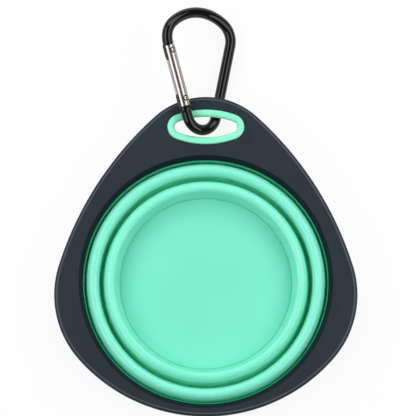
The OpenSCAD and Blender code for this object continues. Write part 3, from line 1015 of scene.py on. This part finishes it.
    def outer_skirt(self) -> bpy.types.Object:
        """Builds the wall that hangs from the outer crest's inner side.

        Returns:
            The skirt, with all but its top as the second zone, in the deeper green of painted groove shade.
        """
        face, shoulder = self.outer.crest[1], self.shoulder(self.outer)
        low, high = self.valley_z[1], self.crest_z[0]
        bend = self.crest_z[1] - self.rise
        thick_top, thick_foot = self.skirt_t
        section = [
            (face, low), (face, bend), (face + (shoulder - face) * self.skirt_ease, (bend + high) / 2),
            (shoulder, high), (face + thick_top, high), (face + thick_foot, low),
        ]
        return self.webbed(lathe("outer_skirt", refine(section, self.grids[0])))

    def cup_wall(self) -> bpy.types.Object:
        """Builds the cup's sloping wall down to the foot ring that it stands on.

        Returns:
            The wall.
        """
        under, base = self.crest_z[0], self.floor_z[0]
        shoulder = self.shoulder(self.inner)
        inner_r, outer_r = self.foot_r
        rounding = self.foot_rounding
        section = fillet(
            [
                (shoulder, under, 0), (self.floor_r, self.wall_foot, rounding[0]), (self.floor_r, base, 0),
                (inner_r, base, rounding[0]), (inner_r, 0, rounding[1]), (outer_r, 0, rounding[2]),
                (outer_r, base, rounding[3]), (shoulder + self.wall_t, under, 0),
            ]
        )
        return lathe("cup_wall_and_foot", refine(section, self.grids[2]))

    def floor(self) -> bpy.types.Object:
        """Builds the floor disc with its rounded edge and the step round its underside.

        Returns:
            The floor.
        """
        low, high = self.floor_z
        step_out, step_in, step_h = self.floor_step
        r = self.floor_rounding
        angles = [math.radians(a) for a in range(90, -1, -15)]
        edge = [(self.floor_r - r + r * math.cos(a), high - r + r * math.sin(a)) for a in angles]
        roof = low + step_h
        section = [(row, high) for row in self.floor_rows] + edge
        section += [(self.floor_r, low), (step_out, low), (step_in, roof)]
        section += [(row, roof) for row in self.floor_under]
        maker = Maker()
        rings = [maker.ring(circle(radius, z, self.floor_turn)) for radius, z in section]
        maker.bands(rings)
        maker.fan(rings[0], maker.ring([(0, 0, high)])[0])
        maker.fan(rings[-1], maker.ring([(0, 0, roof)])[0])
        return maker.build("bowl_floor_disc")

    def place(self) -> None:
        """Builds and dresses each piece; the folds stay where they are built, and the other pieces ride on
        their bodies.
        """
        folds = (
            (self.outer_fold, "upper_fold", ("frame", "outer_ring")),
            (self.inner_fold, "lower_fold", ("outer_ring", "cup")),
        )
        for make, node, (above, below) in folds:
            piece = self.wardrobe.dress(make(), "bowl_rubber", RUBBER, WEB_SHADE)
            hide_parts(node)
            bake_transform(piece)
            log.info("%s: %d points", piece.name, len(piece.data.vertices))
        firm: tuple[tuple[Callable[[], bpy.types.Object], tuple[Finish, ...], str, str], ...] = (
            (self.lip, (RUBBER, LIP_SHADE), "rim_lip", "frame"),
            (self.outer_skirt, (RUBBER, WEB_SHADE), "outer_band", "outer_ring"),
            (self.cup_wall, (RUBBER,), "inner_band", "cup"),
            (self.floor, (BASE,), "bowl_floor", "cup"),
        )
        for make, finishes, node, body in firm:
            piece = self.wardrobe.dress(make(), "bowl_rubber", *finishes)
            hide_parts(node)
            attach(piece, body)
            log.info("%s: %d points", piece.name, len(piece.data.vertices))


@dataclass
class Carabiner:
    """The carabiner's bar with its collar and tangs, its rivets, and its gate's finish, in mm."""

    wardrobe: Wardrobe
    bar_r: float = 2.5
    loop_r: float = 8.0
    shoulder_r: float = 9.6
    crown_r: float = 22.3
    reach: float = 17.5
    span: float = 34.6
    twist: float = 33.0
    yaw: float = 2.0
    loop_place: Point3 = (-2.0, 78.6, 12.2)
    gate_span: tuple[float, float] = (5.3, 34.304)
    hinge_inset: float = 3.45
    latch_inset: float = 2.5
    gate_r: float = 2.75
    bore_r: float = 2.2
    end_play: float = 0.3
    rivet_r: float = 0.8
    # radius of the head and of its seam, and height of the head over the middle plane
    rivet_head: tuple[float, float, float] = (1.0, 1.42, 2.9)
    rivet_seat: float = 2.43
    rivet_dome: float = 0.3
    seam_depth: float = 0.12
    # radius and depth, and how far under the head's top the dome starts
    dimple: tuple[float, float] = (0.42, 0.25)
    dimple_edge: float = 0.02
    # rings of the dimple in parts of its radius and depth, and its middle in parts of its depth
    dimple_rings: tuple[Point2, ...] = ((0.3, 1.0), (0.8, 0.45))
    dimple_middle: float = 1.1
    dome_steps: int = 10
    rivet_turn: int = 32
    tang_t: float = 1.8
    tang_out: float = 2.95
    tang_edge: float = 0.12
    tang_root: float = 0.3
    tang_rounding: float = 0.9
    hole_play: float = 0.05
    latch_tang_len: float = 5.8
    latch_play: float = 0.15
    notch_steps: int = 5
    # bevels of the latch tang: back foot, inner corners, back top across and along
    latch_bevels: tuple[float, float, float, float] = (0.5, 0.4, 0.6, 0.9)
    # radius and length of the bar's collar
    collar: tuple[float, float] = (3.1, 2.3)
    # steps inward and along the leg, at the collar's rim, its foot, the neck below it and the bar's upper end
    collar_rim: tuple[Point2, ...] = ((0.14, 0.0), (0.04, 0.04), (0.0, 0.14))
    collar_foot: tuple[Point2, ...] = ((0.0, 0.2), (0.05, 0.07), (0.16, 0.01))
    neck: tuple[Point2, ...] = ((-0.06, -0.02), (0.0, -0.1))
    upper_end: tuple[Point2, ...] = ((0.0, 0.25), (0.05, 0.08), (0.2, 0.0))
    # rings of the straight stretch between the neck and the loop
    straight: tuple[float, float] = (1.5, 0.4)
    # rings across the hollowed end and the upper end, in parts of the radius
    hollow_rings: tuple[float, ...] = (0.25, 0.5, 0.75)
    end_rings: tuple[float, ...] = (0.66, 0.33)
    sides: int = 48
    # steps of the loop, a shoulder and the crown
    bend_steps: tuple[int, int, int] = (40, 26, 24)
    lean: float = field(init=False)
    leg: float = field(init=False)
    half_crown: float = field(init=False)
    crown_y: float = field(init=False)

    def __post_init__(self) -> None:
        """Works out the tangents between the bends."""
        side = self.reach - self.shoulder_r
        centres = math.hypot(side, self.span)
        step = self.shoulder_r - self.loop_r
        self.lean = math.atan2(side, self.span) + math.asin(step / centres)
        self.leg = math.sqrt(centres**2 - step**2)
        self.half_crown = math.asin(side / (self.crown_r - self.shoulder_r))
        self.crown_y = self.span - math.sqrt((self.crown_r - self.shoulder_r) ** 2 - side**2)

    @property
    def hinge_s(self) -> float:
        """Place of the hinge rivet along the gate's leg."""
        return self.gate_span[0] + self.hinge_inset

    @property
    def sweep_r(self) -> float:
        """Radius that the gate's lower corners need about the hinge rivet."""
        return math.hypot(self.gate_r, self.hinge_inset) + self.end_play / 2

    def world(self, u: float, v: float, n: float) -> Point3:
        """Takes a point of the carabiner's own plane to the row frame.

        Args:
            u: across the carabiner, towards its spine.
            v: along it, towards its crown.
            n: out of its plane.

        Returns:
            The point in millimetres.
        """
        tilt, turn = math.radians(self.twist), math.radians(self.yaw)
        x = u * math.cos(tilt) + n * math.sin(tilt)
        z = -u * math.sin(tilt) + n * math.cos(tilt)
        px, py, pz = self.loop_place
        c, d = math.cos(turn), math.sin(turn)
        return (x * c - v * d + px, x * d + v * c + py, z + pz)

    def on_leg(self, x: float, s: float, n: float) -> Point3:
        """Takes a point of the gate's leg to the row frame.

        Args:
            x: towards the inside of the carabiner.
            s: along the leg, from the loop's bend.
            n: out of the carabiner's plane.

        Returns:
            The point in millimetres.
        """
        c, d = math.cos(self.lean), math.sin(self.lean)
        return self.world((x - self.loop_r) * c - s * d, (x - self.loop_r) * d + s * c, n)

    def hollow_s(self, x: float) -> float:
        """Where the bar's hollowed lower end lies, x to the side of the leg's centre line."""
        return self.hinge_s - math.sqrt(self.sweep_r**2 - x**2)

    def leg_ring(self, radius: float, s: Callable[[float], float]) -> list[Point3]:
        """Points of a ring about the gate's leg.

        Args:
            radius: the ring's radius.
            s: place along the leg for each sideways offset.

        Returns:
            The points.
        """
        ring = []
        for k in range(self.sides):
            a = 2 * math.pi * k / self.sides
            x = radius * math.cos(a)
            ring.append(self.on_leg(x, s(x), radius * math.sin(a)))
        return ring

    def level_ring(self, radius: float, s: float) -> list[Point3]:
        """Points of a ring square to the gate's leg."""
        return self.leg_ring(radius, lambda x: s)

    def bend_rings(self) -> list[list[Point3]]:
        """Rings of the bar from the loop's left end, round the spine and the crown, to the gate's leg.

        Returns:
            The points of each ring.
        """
        lean = math.degrees(self.lean)
        half = math.degrees(self.half_crown)
        side = self.reach - self.shoulder_r
        loop_n, shoulder_n, crown_n = self.bend_steps
        arcs = (
            ((0.0, 0.0), self.loop_r, 180 + lean, 360 - lean, loop_n),
            ((side, self.span), self.shoulder_r, -lean, 90 - half, shoulder_n),
            ((0.0, self.crown_y), self.crown_r, 90 - half, 90 + half, crown_n),
            ((-side, self.span), self.shoulder_r, 90 + half, 180 + lean, shoulder_n),
        )
        rings = []
        for number, ((cx, cy), radius, start, stop, steps) in enumerate(arcs):
            # the last two arcs start where the arc before them ends, so their first ring is already there
            for k in range(1 if number > 1 else 0, steps + 1):
                a = math.radians(start + (stop - start) * k / steps)
                ring = []
                for j in range(self.sides):
                    b = 2 * math.pi * j / self.sides
                    reach = radius - self.bar_r * math.cos(b)
                    u, v = cx + reach * math.cos(a), cy + reach * math.sin(a)
                    ring.append(self.world(u, v, self.bar_r * math.sin(b)))
                rings.append(ring)
        return rings

    def bar(self) -> bpy.types.Object:
        """Builds the whole bar as one closed tube with a collar and a hollowed lower end.

        Returns:
            The bar.
        """
        collar_r, collar_len = self.collar
        foot = self.gate_span[0] - collar_len
        upper = self.gate_span[1] + self.end_play
        hollowed = [(collar_r * share, 0.0) for share in self.hollow_rings]
        hollowed += [(collar_r - inward, down) for inward, down in self.collar_rim]
        lower = [(collar_r - inward, foot + up) for inward, up in self.collar_foot]
        lower += [(self.bar_r - inward, foot + up) for inward, up in self.neck]
        lower += [(self.bar_r, s) for s in self.straight]
        end = [(self.bar_r - inward, upper + up) for inward, up in self.upper_end]
        end += [(self.bar_r * share, upper) for share in self.end_rings]
        places = [self.leg_ring(r, lambda x, d=down: self.hollow_s(x) - d) for r, down in hollowed]
        places += [self.level_ring(r, s) for r, s in lower]
        places += self.bend_rings()
        places += [self.level_ring(r, s) for r, s in end]
        maker = Maker()
        rings = [maker.ring(ring) for ring in places]
        maker.bands(rings)
        maker.fan(rings[0], maker.ring([self.on_leg(0, self.hollow_s(0), 0)])[0])
        maker.fan(rings[-1], maker.ring([self.on_leg(0, upper, 0)])[0])
        return maker.build("black_bar", sharp=40)

    def tang(self, name: str, outline: Sequence[Point2], hole: Sequence[Point2] = ()) -> bpy.types.Object:
        """Builds a flat tang in the plane of the carabiner.

        Args:
            name: the piece's name.
            outline: its outline on the gate's leg.
            hole: outline of a hole through it.

        Returns:
            The tang, with its edges softened.
        """
        maker = Maker()
        half = self.tang_t / 2
        loops = []
        for points in (outline, hole):
            if points:
                pair = [maker.ring(self.on_leg(x, s, n) for x, s in points) for n in (-half, half)]
                maker.bands(pair)
                loops.append(pair)
        for k in (0, 1):
            maker.flat([pair[k] for pair in loops])
        return soften(maker.build(name, sharp=40), self.tang_edge)

    def about_hinge(self, radius: float, angle: int) -> Point2:
        """Point of the leg's plane at an angle in degrees about the hinge rivet."""
        a = math.radians(angle)
        return (radius * math.cos(a), self.hinge_s + radius * math.sin(a))

    def hinge_tang(self) -> bpy.types.Object:
        """Builds the tang that the hinge rivet passes through.

        Returns:
            The tang.
        """
        foot = self.gate_span[0] - self.collar[1] + self.tang_root
        tip = self.hinge_s + self.bore_r
        out = -self.tang_out
        nose = [self.about_hinge(self.bore_r, angle) for angle in range(0, 91, 6)]
        block = fillet([(out, foot, 0), (0, foot, 0), (0, tip, 0), (out, tip, self.tang_rounding)])
        back = [(x, s) for x, s in block if x < 0 and s > foot]
        hole = [self.about_hinge(self.rivet_r + self.hole_play, angle) for angle in range(0, 360, 10)]
        return self.tang("hinge_tang", [(out, foot), (self.bore_r, foot), *nose, *back], hole)

    def latch_tang(self) -> bpy.types.Object:
        """Builds the hooked tang whose notch follows the latch rivet's path.

        Returns:
            The tang.
        """
        start, stop = self.gate_span[1] - self.latch_tang_len, self.leg
        inside = math.sqrt(self.bore_r**2 - (self.tang_t / 2) ** 2) - self.latch_play
        path_r = self.gate_span[1] - self.latch_inset - self.hinge_s
        half = self.rivet_r + self.latch_play
        out = -self.tang_out
        heel, nick, across, along = self.latch_bevels

        def on_path(x: float, step: float) -> Point2:
            """Point of the notch's edge at a sideways offset."""
            return (x, self.hinge_s + math.sqrt((path_r + step) ** 2 - x * x))

        offsets = [inside + (-half - inside) * k / self.notch_steps for k in range(self.notch_steps + 1)]
        outline = [
            (out, start + heel), (out + heel, start), (inside - nick, start), (inside, start + nick),
            *[on_path(x, -half) for x in offsets], *[on_path(x, half) for x in reversed(offsets)],
            (inside, stop - nick), (inside - nick, stop), (out + across, stop), (out, stop - along),
        ]
        return self.tang("latch_tang", outline)

    def rivet(self, name: str, s: float) -> bpy.types.Object:
        """Builds a rivet across the gate: its shank, and at each end a dimpled dome in a seam painted dark as
        shade.

        Args:
            name: the piece's name.
            s: place of the rivet along the leg.

        Returns:
            The rivet, with the dimples and seams, painted dark as shade, as its second zone.
        """
        head_r, seam_r, top = self.rivet_head
        dimple_r, dimple_depth = self.dimple
        half = [(share * dimple_r, top - deep * dimple_depth) for share, deep in self.dimple_rings]
        for k in range(self.dome_steps + 1):
            a = math.radians(90 * k / self.dome_steps)
            r = dimple_r + (head_r - dimple_r) * math.sin(a)
            half.append((r, top - self.dimple_edge - self.rivet_dome * (1 - math.cos(a))))
        seat, floor = self.rivet_seat, self.rivet_seat - self.seam_depth
        half += [(head_r, seat), (seam_r, seat), (seam_r, floor), (self.rivet_r, floor)]
        zones = [RivetZone.SEAM_SHADE] + [RivetZone.STEEL] * (self.dome_steps + 1) + [RivetZone.SEAM_SHADE] * 4
        turn = [2 * math.pi * k / self.rivet_turn for k in range(self.rivet_turn)]
        maker = Maker()
        rings = []
        for r, n in half + [(r, -n) for r, n in reversed(half)]:
            rings.append(maker.ring(self.on_leg(r * math.cos(a), s + r * math.sin(a), n) for a in turn))
        maker.bands(rings, [*zones, RivetZone.STEEL, *reversed(zones)])
        for ring, side in ((rings[0], 1), (rings[-1], -1)):
            middle = self.on_leg(0, s, side * (top - self.dimple_middle * dimple_depth))
            maker.fan(ring, maker.ring([middle])[0], RivetZone.SEAM_SHADE)
        return maker.build(name, sharp=40)

    def place(self, nodes: dict[str, bpy.types.Object]) -> None:
        """Builds the bar, its tangs and the rivets, and dresses the gate's CAD nodes.

        Args:
            nodes: the frame's CAD nodes by name.
        """
        for make in (self.bar, self.hinge_tang, self.latch_tang):
            piece = self.wardrobe.dress(make(), "black_bar", BAR)
            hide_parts("carabiner_body")
            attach(piece, "carabiner")
            log.info("%s: %d points", piece.name, len(piece.data.vertices))
        for name, node, s in (
            ("domed_hinge_rivet", "hinge_rivet", self.hinge_s),
            ("domed_latch_rivet", "latch_rivet", self.gate_span[1] - self.latch_inset),
        ):
            piece = self.wardrobe.dress(self.rivet(name, s), "rivet_steel", RIVET, SEAM_SHADE)
            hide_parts(node)
            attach(piece, "gate")
            log.info("%s: %d points", name, len(piece.data.vertices))
        for name, finish, slot in (
            ("gate_tube", GATE, "gate_steel"), ("gate_spring", SPRING, "spring_steel"),
            ("spring_plunger", SPRING, "spring_steel"),
        ):
            self.wardrobe.dress(nodes[name], slot, finish)
            log.info("%s keeps its CAD shape", name)


@dataclass(frozen=True)
class Lamp:
    """A soft lamp that points at the bowl, in metres and watts."""

    name: str
    place: Point3
    aim: Point3
    size: tuple[float, float]
    watts: float

    def hang(self) -> None:
        """Hangs the lamp."""
        light = bpy.data.lights.new(self.name, "AREA")
        light.shape = "RECTANGLE"
        light.size, light.size_y = self.size
        light.energy = self.watts
        lamp = bpy.data.objects.new(self.name, light)
        lamp.location = self.place
        way = Vector(self.aim) - Vector(self.place)
        lamp.rotation_euler = way.to_track_quat("-Z", "Y").to_euler()
        bpy.context.scene.collection.objects.link(lamp)


@dataclass
class Studio:
    """The pale floor, the soft lamps, the surroundings and the camera, in metres but for the target."""

    floor_half: float = 1.6
    floor_drop: float = 0.0002
    floor_grey: float = 0.9
    shadow: float = 0.1
    around: float = 0.15
    # upward part of a direction where the white below the horizon starts and ends to fade
    horizon: tuple[float, float] = (0.08, 0.16)
    lamps: tuple[Lamp, ...] = (
        Lamp("left_box", (-0.44, 0.1, 0.49), (0, 0.1, 0.01), (1.05, 0.42), 3.35),
        Lamp("right_box", (0.44, 0.1, 0.49), (0, 0.1, 0.01), (1.05, 0.42), 3.2),
        Lamp("back_box", (0.04, 0.66, 0.44), (0, 0.05, 0.01), (0.7, 0.28), 1.5),
    )
    target: Point3 = (1.0, 34.2, 12.9)
    elevation: float = 83.0
    distance: float = 3.6
    lens: float = 674.34
    sensor: float = 36.0
    near: float = 0.05

    def white_to_camera(
        self, tree: bpy.types.NodeTree, other: bpy.types.NodeSocket, share: float
    ) -> bpy.types.NodeSocket:
        """Mixes plain white in for rays from the camera, mirrors and glass.

        Args:
            tree: the node tree.
            other: the shader that lights the object.
            share: how much of the other shader still shows.

        Returns:
            The mixed shader's socket.
        """
        path = tree.nodes.new("ShaderNodeLightPath")
        total = path.outputs["Is Camera Ray"]
        for name in ("Is Glossy Ray", "Is Transmission Ray"):
            node = tree.nodes.new("ShaderNodeMath")
            node.operation = "MAXIMUM"
            tree.links.new(total, node.inputs[0])
            tree.links.new(path.outputs[name], node.inputs[1])
            total = node.outputs[0]
        scale = tree.nodes.new("ShaderNodeMath")
        scale.operation = "MULTIPLY"
        scale.inputs[1].default_value = 1 - share
        tree.links.new(total, scale.inputs[0])
        white = tree.nodes.new("ShaderNodeEmission")
        white.inputs["Color"].default_value = (1, 1, 1, 1)
        mix = tree.nodes.new("ShaderNodeMixShader")
        tree.links.new(scale.outputs[0], mix.inputs["Fac"])
        tree.links.new(other, mix.inputs[1])
        tree.links.new(white.outputs["Emission"], mix.inputs[2])
        return mix.outputs["Shader"]

    def surroundings(self) -> None:
        """Sets the studio's own light: white from the horizon down, dim above it."""
        world = bpy.data.worlds.new("studio")
        world.use_nodes = True
        tree = world.node_tree
        tree.nodes.clear()
        height = tree.nodes.new("ShaderNodeSeparateXYZ")
        tree.links.new(tree.nodes.new("ShaderNodeTexCoord").outputs["Generated"], height.inputs["Vector"])
        level = tree.nodes.new("ShaderNodeMapRange")
        for name, value in zip(RANGE_ENDS, (*self.horizon, 1.0, self.around)):
            level.inputs[name].default_value = value
        tree.links.new(height.outputs["Z"], level.inputs["Value"])
        glow = tree.nodes.new("ShaderNodeBackground")
        glow.inputs["Color"].default_value = (1, 1, 1, 1)
        tree.links.new(level.outputs["Result"], glow.inputs["Strength"])
        output = tree.nodes.new("ShaderNodeOutputWorld")
        tree.links.new(glow.outputs["Background"], output.inputs["Surface"])
        bpy.context.scene.world = world

    def ground(self) -> None:
        """Lays the pale floor that the bowl stands on."""
        material = bpy.data.materials.new("pale_floor")
        material.use_nodes = True
        tree = material.node_tree
        tree.nodes.clear()
        matte = tree.nodes.new("ShaderNodeBsdfDiffuse")
        matte.inputs["Color"].default_value = (*(self.floor_grey,) * 3, 1)
        output = tree.nodes.new("ShaderNodeOutputMaterial")
        surface = self.white_to_camera(tree, matte.outputs["BSDF"], self.shadow)
        tree.links.new(surface, output.inputs["Surface"])
        h = self.floor_half
        mesh = bpy.data.meshes.new("floor")
        mesh.from_pydata([(-h, -h, 0), (h, -h, 0), (h, h, 0), (-h, h, 0)], [], [(0, 1, 2, 3)])
        mesh.materials.append(material)
        floor = bpy.data.objects.new("floor", mesh)
        floor.location.z = -self.floor_drop
        bpy.context.scene.collection.objects.link(floor)

    def camera(self) -> None:
        """Sets the camera at the photograph's angle, with a long lens."""
        data = bpy.data.cameras.new("camera")
        data.lens = self.lens
        data.sensor_width = self.sensor
        data.clip_start = self.near
        camera = bpy.data.objects.new("camera", data)
        target = Vector([c * MM for c in self.target])
        tilt = math.radians(self.elevation)
        camera.location = target + self.distance * Vector((0, -math.cos(tilt), math.sin(tilt)))
        camera.rotation_euler = (target - camera.location).to_track_quat("-Z", "Y").to_euler()
        bpy.context.scene.collection.objects.link(camera)
        bpy.context.scene.camera = camera

    def build(self) -> None:
        """Builds the whole studio."""
        scene = bpy.context.scene
        scene.view_settings.view_transform = "Standard"
        self.surroundings()
        self.ground()
        for lamp in self.lamps:
            lamp.hang()
        self.camera()


def main() -> None:
    """Builds the scene's classes in order."""
    logging.basicConfig(level=logging.INFO, format="%(name)s: %(message)s")
    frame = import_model()
    Studio().build()
    log.info("studio")
    wardrobe = Wardrobe()
    RimPlate(wardrobe).place()
    RubberBowl(wardrobe).place()
    Carabiner(wardrobe).place(frame["nodes"])


if __name__ == "__main__":
    main()
